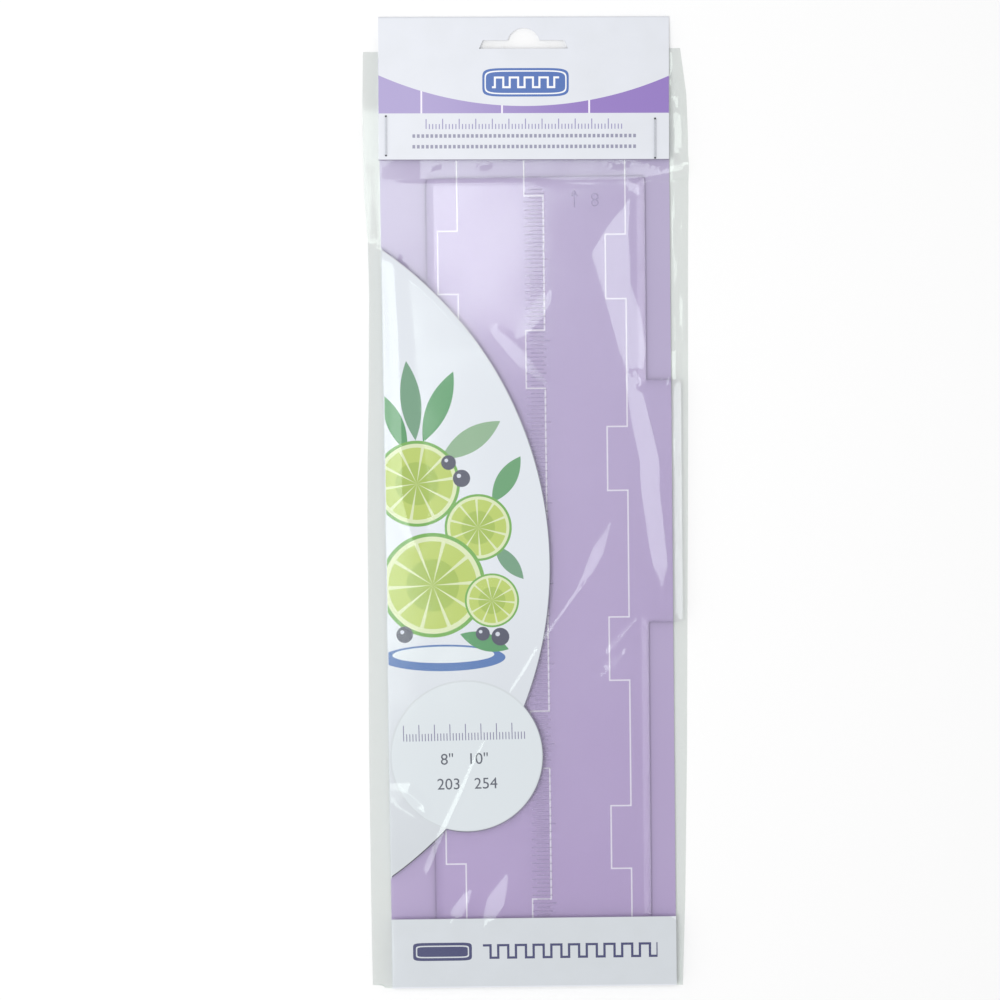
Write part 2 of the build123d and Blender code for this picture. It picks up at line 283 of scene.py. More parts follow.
def arcFlapMaterial():
    mat, white = cardMaterial("printedBoardFlap")
    axes = addNode(mat, "ShaderNodeSeparateXYZ", {0: place(mat, (0, 0), (1, 1))})
    down = addNode(mat, "ShaderNodeMapRange", {
        "Value": axes.outputs[1], "From Min": flapPrint["greyFrom"], "From Max": flapPrint["greyTo"]})
    colour = addNode(mat, "ShaderNodeMix", {
        0: down.outputs[0], 6: srgb(flapPrint["white"]), 7: srgb(flapPrint["whiteFoot"])},
        data_type="RGBA").outputs[2]
    centre, half, ink = flapPrint["dish"]
    colour = overlay(mat, colour, discMask(mat, centre, half), srgb(ink))
    centre, half, ink = flapPrint["dishRim"]
    colour = overlay(mat, colour, discMask(mat, centre, half), srgb(ink))
    for centre, half, turn, ink in flapPrint["leaves"]:
        colour = overlay(mat, colour, leafMask(mat, centre, half, turn), srgb(ink))
    for centre, radius, turn in flapPrint["limes"]:
        colour = limeSlice(mat, colour, centre, radius, turn)
    for centre, radius in flapPrint["berries"]:
        colour = overlay(mat, colour, discMask(mat, centre, (radius, radius)), srgb(flapPrint["berry"]))
        glint = (centre[0] - radius * 0.3, centre[1] + radius * 0.3)
        colour = overlay(mat, colour, discMask(mat, glint, (radius * 0.25, radius * 0.25)),
                         srgb(flapPrint["berryGlint"]))
    centre, radius, ink = flapPrint["disc"]
    colour = overlay(mat, colour, discMask(mat, centre, (radius + 0.6, radius + 0.6)), srgb(flapPrint["discEdge"]))
    colour = overlay(mat, colour, discMask(mat, centre, (radius, radius)), srgb(ink))
    centre, half, ink = flapPrint["ticks"]
    colour = overlay(mat, colour, tickMask(mat, centre, half, 0.7, 40, 0.28, -0.1), srgb(ink))
    # a painted shadow line along the rim, where neither curve, drawn in by its width, still covers the card
    inside = []
    for centre, radius in (flapPrint["arcCut"], flapPrint["discCut"]):
        reach = radius - board["edgeShadowWidth"]
        inside.append(discMask(mat, centre, (reach, reach)))
    kept = addNode(mat, "ShaderNodeMath", {0: inside[0], 1: inside[1]}, operation="MAXIMUM")
    # painted shadow colour of the flap's cut edge, darker towards the foot
    rim = srgb(board["paintedEdgeShadow"])
    for start, end, ink in flapPrint["paintedRimShadows"]:
        ramp = addNode(mat, "ShaderNodeMapRange", {"Value": axes.outputs[1], "From Min": start, "From Max": end})
        rim = overlay(mat, rim, ramp.outputs[0], srgb(ink))
    colour = overlay(mat, rim, kept.outputs[0], colour)
    return finishCard(mat, frontOnly(mat, colour, white))


bottomPrint = {
    "ink": "#2F2F6B",
    "emblem": ((-28.6, -140.7), (9.3, 2.9)),
    "emblemInsets": (0.9, 1.3),    # from its edge to the white line and to the inner field
    "wave": ((11.8, -140.8), (27.6, 2.0)),
    "wavePitch": 5.6,
    "line": 0.75,
}


def bottomFlapMaterial():
    mat, white = cardMaterial("printedBoardFoot")
    ink = srgb(bottomPrint["ink"])
    centre, half = bottomPrint["emblem"]
    colour = overlay(mat, white, barMask(mat, centre, half, 0, 8), ink)
    for inset, shade in zip(bottomPrint["emblemInsets"], (white, ink)):
        inner = (half[0] - inset, half[1] - inset)
        colour = overlay(mat, colour, barMask(mat, centre, inner, 0, 8), shade)
    centre, half = bottomPrint["wave"]
    spot = place(mat, centre, (1, 1), 90)
    mask = steppedLineMask(mat, spot, half[1], -half[1], 0, bottomPrint["wavePitch"] / 2,
                           bottomPrint["wavePitch"], bottomPrint["line"])
    ends = barMask(mat, centre, (half[0], half[1] + 1))
    both = addNode(mat, "ShaderNodeMath", {0: mask, 1: ends}, operation="MULTIPLY")
    colour = overlay(mat, colour, both.outputs[0], ink)
    return finishCard(mat, frontOnly(mat, colour, white))


headerPrint = {
    "centre": (0.4, 130.415),
    "half": 22.125,
    "skew": -0.6,
    "violet": "#8E73BC",
    "violetPaintedGlare": "#A699C9",       # a painted reflection: the violet pales towards the left
    "fadeFrom": 22.0,
    "fadeTo": -34.0,
    "line": "#EDE8F5",
    "arcCentre": (0.4, 106.9),     # from the header's own centre
    "arcRadius": 112.3,
    "bandBottom": -7.6,
    "lines": [-31.7, -6.7, 20.3],
    "lineWidth": 0.55,
    "emblem": ((0.6, 1.9), (13.4, 4.4)),
    "emblemInk": "#3F66AE",
    "emblemWhite": "#F3F4F6",
    "emblemInsets": (0.7, 1.1, 3.0),   # from its edge to the white line, the inner field and the wave's ends
    "wave": (1.5, 4.6, 0.6),       # half height, pitch and line width
    "title": ((0.4, -10.9), (30.8, 1.6), "#8D86B5"),
    "rows": [((0.4, -14.6), (34.9, 0.55)), ((0.4, -17.9), (34.9, 0.55))],
    "rowInk": "#8F8FA6",
    "roughness": 0.28,
}


def headerPlace(point):
    # a point of the header's own frame as a place in the model
    turn = math.radians(headerPrint["skew"])
    x, y = point
    return (headerPrint["centre"][0] + x * math.cos(turn) - y * math.sin(turn),
            headerPrint["centre"][1] + x * math.sin(turn) + y * math.cos(turn))


def headerMaterial(name, front):
    mat, white = cardMaterial(name)
    skew = headerPrint["skew"]
    axes = addNode(mat, "ShaderNodeSeparateXYZ", {0: place(mat, headerPrint["centre"], (1, 1), skew)})
    belowArc = addNode(mat, "ShaderNodeMath", {0: 1.0, 1: discMask(
        mat, headerPlace(headerPrint["arcCentre"]), (headerPrint["arcRadius"], headerPrint["arcRadius"]))},
        operation="SUBTRACT")
    aboveStrip = addNode(mat, "ShaderNodeMath", {0: axes.outputs[1], 1: headerPrint["bandBottom"]},
                         operation="GREATER_THAN")
    band = addNode(mat, "ShaderNodeMath", {0: belowArc.outputs[0], 1: aboveStrip.outputs[0]}, operation="MULTIPLY")
    coords = addNode(mat, "ShaderNodeTexCoord")
    cloud = addNode(mat, "ShaderNodeTexNoise", {
        "Vector": coords.outputs["Object"], "Scale": 1 / (25 * mm), "Detail": 2})
    # painted reflection that pales the violet towards the left, broken up by random clouds
    fade = addNode(mat, "ShaderNodeMapRange", {
        "Value": axes.outputs[0], "From Min": headerPrint["fadeFrom"], "From Max": headerPrint["fadeTo"]},
        interpolation_type="SMOOTHSTEP")
    patchy = addNode(mat, "ShaderNodeMath", {
        0: cloud.outputs["Fac"], 1: 0.2, 2: fade.outputs[0]}, operation="MULTIPLY_ADD")
    share = addNode(mat, "ShaderNodeMath", {0: patchy.outputs[0], 1: 0.1}, operation="SUBTRACT", use_clamp=True)
    violet = addNode(mat, "ShaderNodeMix", {
        0: share.outputs[0], 6: srgb(headerPrint["violet"]), 7: srgb(headerPrint["violetPaintedGlare"])},
        data_type="RGBA").outputs[2]
    for x in headerPrint["lines"]:
        line = addNode(mat, "ShaderNodeMath", {0: axes.outputs[0], 1: x, 2: headerPrint["lineWidth"] / 2},
                       operation="COMPARE")
        violet = overlay(mat, violet, line.outputs[0], srgb(headerPrint["line"]))
    colour = overlay(mat, white, band.outputs[0], violet)
    if front:
        centre, half = headerPrint["emblem"]
        spot = headerPlace(centre)
        ink, pale = srgb(headerPrint["emblemInk"]), srgb(headerPrint["emblemWhite"])
        toLine, toField, toWave = headerPrint["emblemInsets"]
        colour = overlay(mat, colour, barMask(mat, spot, half, skew, 6), ink)
        for inset, shade in ((toLine, pale), (toField, ink)):
            inner = (half[0] - inset, half[1] - inset)
            colour = overlay(mat, colour, barMask(mat, spot, inner, skew, 6), shade)
        rise, pitch, width = headerPrint["wave"]
        wave = steppedLineMask(mat, place(mat, spot, (1, 1), 90 + skew), rise, -rise, 0, pitch / 2, pitch, width)
        clip = barMask(mat, spot, (half[0] - toWave, half[1]), skew)
        both = addNode(mat, "ShaderNodeMath", {0: wave, 1: clip}, operation="MULTIPLY")
        colour = overlay(mat, colour, both.outputs[0], pale)
        centre, half, tickInk = headerPrint["title"]
        mask = tickMask(mat, headerPlace(centre), half, skew, 60, 0.3, 0.0)
        colour = overlay(mat, colour, mask, srgb(tickInk))
        for centre, half in headerPrint["rows"]:
            mask = tickMask(mat, headerPlace(centre), half, skew, 50, 0.62, 2.0)
            colour = overlay(mat, colour, mask, srgb(headerPrint["rowInk"]))
    # a painted shadow line along its lower edge
    kept = addNode(mat, "ShaderNodeMath", {0: axes.outputs[1], 1: board["edgeShadowWidth"] - headerPrint["half"]},
                   operation="GREATER_THAN")
    colour = overlay(mat, srgb(board["paintedEdgeShadow"]), kept.outputs[0], colour)
    return finishCard(mat, frontOnly(mat, colour, white, 1 if front else -1), headerPrint["roughness"])


def setMaterial(name, mat):
    piece = nodes[name]
    if not piece.material_slots:
        piece.data.materials.append(mat)
    for slot in piece.material_slots:
        slot.material = mat


plainCard = finishCard(*cardMaterial("coatedBoard"))
setMaterial("insert_back_panel", lilacCard("lilacPrintedBoard", 1))
setMaterial("insert_side_fold", plainCard)
setMaterial("insert_bottom_fold", plainCard)
setMaterial("insert_arc_flap", arcFlapMaterial())
setMaterial("insert_bottom_flap", bottomFlapMaterial())
setMaterial("header_front_panel", headerMaterial("headerBoardFront", True))
setMaterial("header_back_panel", headerMaterial("headerBoardBack", False))
setMaterial("header_fold", plainCard)
print("cards printed")


# Clear scraper

styrene = {
    "tint": "#FCFBFD",
    "ior": 1.28,         # lower than the plastic's own 1.59, because the film clings to it and dulls its glare
    "roughness": 0.06,
    "plateTop": 3.02,    # mm, just over the plate's face
    "etching": 0.4,
    "matt": "#978CAF",
    "edgeShade": "#4A4556",
    "flow": 14.0,        # mm, length of the faint ripples left by moulding
    "flowDepth": 0.02,
}


def clearPlasticMaterial():
    # crystal polystyrene, injection moulded: glass clear with bright edges and faint flow ripples
    mat = newMaterial("clearPolystyrene")
    coords = addNode(mat, "ShaderNodeTexCoord")
    stretched = addNode(mat, "ShaderNodeMapping", {"Vector": coords.outputs["Object"], "Scale": (1, 0.25, 1)})
    ripple = addNode(mat, "ShaderNodeTexNoise", {
        "Vector": stretched.outputs[0], "Scale": 1 / (styrene["flow"] * mm), "Detail": 1})
    bump = addNode(mat, "ShaderNodeBump", {
        "Strength": 0.5, "Distance": styrene["flowDepth"] * mm, "Height": ripple.outputs["Fac"]})
    glass = addNode(mat, "ShaderNodeBsdfPrincipled", {
        "Base Color": srgb(styrene["tint"]), "Roughness": styrene["roughness"], "IOR": styrene["ior"],
        "Transmission Weight": 1.0, "Normal": bump.outputs[0]})
    # the raised marks are matt, from an etched mould
    heights = addNode(mat, "ShaderNodeSeparateXYZ", {0: coords.outputs["Object"]})
    raised = addNode(mat, "ShaderNodeMath", {0: heights.outputs[2], 1: styrene["plateTop"] * mm},
                     operation="GREATER_THAN")
    etched = addNode(mat, "ShaderNodeMath", {0: raised.outputs[0], 1: styrene["etching"]}, operation="MULTIPLY")
    matt = addNode(mat, "ShaderNodeBsdfDiffuse", {"Color": srgb(styrene["matt"])})
    seen = addNode(mat, "ShaderNodeMixShader", {0: etched.outputs[0], 1: glass.outputs[0], 2: matt.outputs[0]})
    # the cut edges bend light away, which leaves a dark line on the card below
    shape = addNode(mat, "ShaderNodeNewGeometry")
    axes = addNode(mat, "ShaderNodeSeparateXYZ", {0: shape.outputs["Normal"]})
    wall = addNode(mat, "ShaderNodeMath", {0: axes.outputs[2], 1: 0.0, 2: 0.5}, operation="COMPARE")
    tint = addNode(mat, "ShaderNodeMix", {
        0: wall.outputs[0], 6: srgb(styrene["tint"]), 7: srgb(styrene["edgeShade"])}, data_type="RGBA")
    through = addNode(mat, "ShaderNodeBsdfTransparent", {"Color": tint.outputs[2]})
    path = addNode(mat, "ShaderNodeLightPath")
    lit = addNode(mat, "ShaderNodeMath", {
        0: path.outputs["Is Shadow Ray"], 1: path.outputs["Is Diffuse Ray"]}, operation="MAXIMUM")
    mix = addNode(mat, "ShaderNodeMixShader", {0: lit.outputs[0], 1: seen.outputs[0], 2: through.outputs[0]})
    addNode(mat, "ShaderNodeOutputMaterial", {"Surface": mix.outputs[0]})
    return mat


setMaterial("scraper", clearPlasticMaterial())


staple = {
    "zinc": "#9DA0A6",
    "zincPale": "#B5B8BE",
    "bend": "#4A4C50",     # painted shade where the wire turns down into its hole
    "holeShadeLength": 0.55,
}


def wireMaterial(name):
    # zinc coated staple wire: a dull grey metal, with painted shade at its ends where it enters the card
    mat = newMaterial("galvanisedWire")
    low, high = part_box(name)
    coords = addNode(mat, "ShaderNodeTexCoord")
    noise = addNode(mat, "ShaderNodeTexNoise", {"Vector": coords.outputs["Object"], "Scale": 1 / (0.8 * mm)})
    tint = addNode(mat, "ShaderNodeMix", {
        0: noise.outputs["Fac"], 6: srgb(staple["zinc"]), 7: srgb(staple["zincPale"])}, data_type="RGBA")
    axes = addNode(mat, "ShaderNodeSeparateXYZ", {0: coords.outputs["Object"]})
    # painted shade at both ends of the crown, in the holes
    crown = addNode(mat, "ShaderNodeMath", {
        0: axes.outputs[1], 1: (low.y + high.y) / 2, 2: (high.y - low.y) / 2 - staple["holeShadeLength"] * mm},
        operation="COMPARE")
    colour = overlay(mat, srgb(staple["bend"]), crown.outputs[0], tint.outputs[2])
    shader = addNode(mat, "ShaderNodeBsdfPrincipled", {
        "Base Color": colour, "Metallic": 1.0, "Roughness": 0.5})
    addNode(mat, "ShaderNodeOutputMaterial", {"Surface": shader.outputs[0]})
    return mat


for name in ("staple_left", "staple_right"):
    setMaterial(name, wireMaterial(name))
print("scraper and staples finished")


# Bag of clear film

film = {
    "tint": "#F1F2F2",
    "haze": "#F7F8FA",
    "hazeShare": 0.012,
    "ior": 1.57,              # one sheet stands for both of the film's surfaces, so it reflects more
    "sheen": "#E6F2EA",       # its glare is slightly green
    "roughness": 0.11,
    "lampTint": "#FCFDFC",    # what it takes from light on its way in
    "crinkle": 5.0,           # mm between fine crinkles
    "crinkleDepth": 0.02,
}


def filmMaterial():
    # cast polypropylene film: clear, with sharp glints along its creases
    mat = newMaterial("castFilm")
    coords = addNode(mat, "ShaderNodeTexCoord")
    crinkle = addNode(mat, "ShaderNodeTexNoise", {
        "Vector": coords.outputs["Object"], "Scale": 1 / (film["crinkle"] * mm), "Detail": 2})
    bump = addNode(mat, "ShaderNodeBump", {
        "Strength": 0.4, "Distance": film["crinkleDepth"] * mm, "Height": crinkle.outputs["Fac"]})
    clear = addNode(mat, "ShaderNodeBsdfTransparent", {"Color": srgb(film["tint"])})
    haze = addNode(mat, "ShaderNodeBsdfDiffuse", {"Color": srgb(film["haze"])})
    scuffs = addNode(mat, "ShaderNodeTexNoise", {
        "Vector": coords.outputs["Object"], "Scale": 1 / (18 * mm), "Detail": 4})
    share = addNode(mat, "ShaderNodeMath", {
        0: scuffs.outputs["Fac"], 1: film["hazeShare"] * 2}, operation="MULTIPLY")
    body = addNode(mat, "ShaderNodeMixShader", {0: share.outputs[0], 1: clear.outputs[0], 2: haze.outputs[0]})
    gloss = addNode(mat, "ShaderNodeBsdfGlossy", {
        "Color": srgb(film["sheen"]), "Roughness": film["roughness"], "Normal": bump.outputs[0]})
    # a sheet this thin reflects alike from both sides
    shape = addNode(mat, "ShaderNodeNewGeometry")
    bend = addNode(mat, "ShaderNodeMix", {
        0: shape.outputs["Backfacing"], 2: film["ior"], 3: 1 / film["ior"]}, data_type="FLOAT")
    fresnel = addNode(mat, "ShaderNodeFresnel", {"IOR": bend.outputs[0], "Normal": bump.outputs[0]})
    seen = addNode(mat, "ShaderNodeMixShader", {0: fresnel.outputs[0], 1: body.outputs[0], 2: gloss.outputs[0]})
    path = addNode(mat, "ShaderNodeLightPath")
    lit = addNode(mat, "ShaderNodeMath", {
        0: path.outputs["Is Shadow Ray"], 1: path.outputs["Is Diffuse Ray"]}, operation="MAXIMUM")
    bright = addNode(mat, "ShaderNodeBsdfTransparent", {"Color": srgb(film["lampTint"])})
    mix = addNode(mat, "ShaderNodeMixShader", {0: lit.outputs[0], 1: seen.outputs[0], 2: bright.outputs[0]})
    addNode(mat, "ShaderNodeOutputMaterial", {"Surface": mix.outputs[0]})
    return mat


bag = {
    "frontCuts": (180, 520),
    "backCuts": (60, 170),
    "overFlaps": 3.74,        # film over the folded flaps
    "overScraper": 3.14,
    "flapFloor": 3.66,        # creases never press it lower than this over the flaps, or over the scraper
    "scraperFloor": 3.17,
    "plateEdge": 37.6,        # the scraper's right edge, where it has no step
    "stepFrom": 63.5,         # how far the step is below the scraper's top, and its length
    "stepLength": 76.2,
    "slide": 8,               # room above the step for the scraper to slide up
    "backRest": 0.02,         # the back sheet over the table, and under the header's back panel
    "backUnderHeader": 0.47,
    "margins": (-44.8, 45.6),  # where the loose margins start, left and right
    # how high the left seam stands off the table, by height up the bag: it curls up beside the header
    "leftSeam": [(-153, 1.05), (72, 1.05), (84, 3.0), (106, 2.95), (118, 2.75), (126, 2.6), (142, 1.9)],
    # the right seam lies flat, but for a pleat below the header's corner
    "rightSeam": [(-153, 0.12), (101.4, 0.12), (103.6, 4.4), (107.4, 4.4), (109.6, 0.12)],
    "endSeam": 0.1,
    "sideClimb": 0.00046,     # below the header the film bends up to the right, ever steeper
    "headerEdge": 107.0,
    "footEdge": -129.9,       # top of the folded bottom flap
    "headerInner": 3.72,      # under the header's lower edge
    "headerFall": 0.0758,     # how fast the header closes down towards its fold
    "bulge": 0.3,             # how fast the film may rise again below the header
    "notch": (-46.4, 1.4),    # the closed end's cut corner
    "swell": 0.03,            # depth of the slow waves
    "sharpFrom": 22,          # degrees, bends from here up are creased hard
    # height up the bag, then where its left and right sides run there
    "sides": [(-153, -50.9, 47.5), (-124, -51.0, 48.5), (-78, -50.9, 49.4), (-60, -50.7, 49.6), (-35, -50.4, 49.9),
              (-3, -50.2, 50.3), (14, -49.9, 50.5), (34, -49.25, 50.7), (66, -48.55, 50.9), (84, -48.65, 51.1),
              (97, -49.5, 51.3), (115, -49.7, 51.3), (128, -49.6, 50.9), (142, -49.2, 49.1)],
    # long creases: points from the top down with half widths, then how steeply the left flank rises
    "creases": [
        ([(32.6, 94.7), (28.8, 84.9), (27.1, 78.3), (28.7, 68.5), (31.5, 58.6), (33.4, 48.6), (34.6, 39.4)],
         [0.8, 4.0, 6.0, 4.6, 5.0, 4.3, 2.0], 0.105),
        ([(33.3, 39.5), (35.9, 25.5), (38.4, 13.6), (38.6, 4.4), (40.2, -8.9), (41.7, -19.6), (41.9, -24.5)],
         [2.4, 3.2, 3.4, 3.2, 3.0, 2.5, 0.8], 0.1),
        ([(-8.7, 54.5), (-1.0, 46.5), (7.6, 37.7)], [1.6, 2.4, 0.8], 0.06),
        ([(6.5, 64.9), (3.0, 60.0), (-0.8, 55.6)], [2.0, 2.4, 2.0], 0.05),
        ([(25.6, -6.1), (22.2, -13.4), (17.5, -23.3)], [0.8, 2.3, 1.5], 0.1),
        ([(17.5, -23.3), (11.5, -32.0), (5.4, -40.5)], [0.9, 0.6, 0.5], 0.14),
        ([(2.7, -44.2), (-1.4, -51.0), (-5.8, -57.8)], [0.4, 0.55, 0.4], 0.12),
        ([(-14.3, -73.9), (-18.4, -81.3), (-21.9, -89.3), (-27.4, -100.7), (-32.9, -114.1)],
         [0.3, 0.45, 0.6, 0.8, 0.8], 0.12),
        ([(-46.0, -88.0), (-40.5, -91.5), (-36.0, -95.0)], [0.6, 3.0, 2.6], 0.09),
        ([(33.3, -35.9), (25.9, -44.1)], [0.8, 1.6], 0.1),
        ([(29.0, -46.4), (25.0, -50.5)], [1.4, 2.2], 0.1),
        ([(-8.6, -118.4), (-11.1, -124.0), (-13.5, -129.6)], [1.4, 3.0, 2.0], 0.09),
        ([(-20.5, -123.0), (-23.5, -128.0)], [1.4, 2.2], 0.09),
        # a slack fold down the curved flap
        ([(-34.2, -9.0), (-35.1, 2.9), (-36.3, 31.1), (-37.5, 56.1), (-38.6, 76.0)],
         [2.0, 4.0, 2.9, 2.3, 2.2], 0.055),
        # the fold below the header and specks at the scraper's corner
        ([(50.5, 106.0), (42.0, 104.0), (34.0, 103.1), (22.0, 102.6), (6.0, 102.4)],
         [0.8, 0.9, 0.9, 0.8, 0.4], 0.16),
        ([(32.6, 100.8), (35.4, 99.4)], [0.5, 0.8], 0.2),
        ([(33.5, 98.9), (35.8, 97.6)], [0.4, 0.7], 0.2),
        # small crumples at the header's edge
        ([(-26.0, 106.9), (-28.6, 106.5)], [0.3, 0.5], 0.3),
        ([(-10.5, 106.8), (-13.0, 106.4), (-15.2, 106.9)], [0.3, 0.5, 0.3], 0.3),
        ([(32.0, 106.7), (28.5, 106.2), (25.5, 106.8)], [0.3, 0.5, 0.3], 0.3),
        ([(46.0, 106.0), (42.0, 105.6), (38.8, 106.3)], [0.3, 0.6, 0.3], 0.25),
        # crumples and streaks down the right margin
        ([(46.4, 141.0), (46.3, 134.0), (46.6, 128.5)], [0.5, 0.8, 0.5], 0.42),
        ([(46.4, 134.0), (46.9, 128.0), (47.4, 124.6)], [0.4, 1.1, 0.7], 0.6),
        ([(47.5, 122.4), (47.9, 116.0), (47.3, 109.5)], [0.7, 1.5, 0.6], 0.8),
        ([(46.3, 100.0), (46.2, 90.0), (46.5, 74.0), (46.3, 40.0)], [0.4, 0.7, 0.7, 0.4], 0.36),
        ([(47.6, 94.0), (47.7, 86.0)], [0.5, 0.7], 0.38),
        ([(48.4, 68.0), (48.3, 55.0), (48.2, 42.0)], [0.4, 0.8, 0.4], 0.42),
        # nicks at the corners of the scraper's step, and a streak along it
        ([(44.9, 40.2), (44.4, 38.6)], [0.4, 0.6], 0.14),
        ([(42.8, 40.0), (42.4, 38.8)], [0.3, 0.4], 0.14),
        ([(45.0, -35.2), (44.2, -36.6)], [0.4, 0.5], 0.14),
        ([(46.2, 35.0), (46.1, 20.0), (46.0, -8.0)], [0.3, 0.5, 0.3], 0.12),
    ],
    # over the upper part of the curved flap the film tips up towards the header
    "tipFrom": 50.0,
    "tip": 0.022,
}


def easeStep(t):
    t = np.clip(t, 0, 1)
    return t * t * (3 - 2 * t)


def creaseHeight(x, y, points, halves, rise):
    # rises evenly across the width towards the right, then drops back: only the left flank is long
    best = np.full(x.shape, 1e9)
    side = np.zeros(x.shape)
    width = np.ones(x.shape)
    for i in range(len(points) - 1):
        (ax, ay), (bx, by) = points[i], points[i + 1]
        run = math.hypot(bx - ax, by - ay)
        ux, uy = (bx - ax) / run, (by - ay) / run
        t = np.clip((x - ax) * ux + (y - ay) * uy, 0, run)
        away = np.hypot(x - ax - t * ux, y - ay - t * uy)
        across = -(x - ax) * uy + (y - ay) * ux
        near = away < best
        best = np.where(near, away, best)
        side = np.where(near, np.sign(across) * away, side)
        width = np.where(near, halves[i] + (halves[i + 1] - halves[i]) * t / run, width)
    u = side / width
    climb = rise * width * np.clip(u + 1, 0, 2)
    return climb * (1 - easeStep((u - 1) / 0.9))


def slowWaves(x, y, seed, depth, shortest, longest, count=26):
    # a seeded sum of plane waves, flatter where they are shorter
    random = np.random.default_rng(seed)
    total = np.zeros(x.shape)
    for i in range(count):
        length = shortest * (longest / shortest) ** random.random()
        angle = random.random() * math.tau
        phase = random.random() * math.tau
        total += length / longest * np.sin((x * math.cos(angle) + y * math.sin(angle)) * math.tau / length + phase)
    return total * depth / math.sqrt(count / 2)


def toSides(x, y, left, right):
    # moves the two margins so that the bag's sides run as they do in the real one
    heights, leftSide, rightSide = zip(*bag["sides"])
    toRight = np.interp(y, heights, rightSide) - right
    toLeft = np.interp(y, heights, leftSide) - left
    fromLeft, fromRight = bag["margins"]
    atRight = easeStep((x - fromRight) / (right - fromRight))
    atLeft = easeStep((fromLeft - x) / (fromLeft - left))
    return x + toRight * atRight + toLeft * atLeft


def filmGrid(name, low, high, cuts):
    # a flat sheet with its size in its mesh
    bpy.ops.mesh.primitive_grid_add(x_subdivisions=cuts[0], y_subdivisions=cuts[1], size=2)
    sheet = bpy.context.object
    sheet.name = name
    sheet.data.name = name
    sheet.scale = ((high.x - low.x) / 2, (high.y - low.y) / 2, 1)
    sheet.location = ((low.x + high.x) / 2, (low.y + high.y) / 2, 0)
    bpy.ops.object.transform_apply(location=True, rotation=True, scale=True)
    return sheet


def sheetPoints(sheet):
    # its vertices in millimetres
    points = np.empty(len(sheet.data.vertices) * 3)
    sheet.data.vertices.foreach_get("co", points)
    return points.reshape(-1, 3) / mm


def movePoints(sheet, points):
    sheet.data.vertices.foreach_set("co", (points * mm).ravel())
    sheet.data.update()


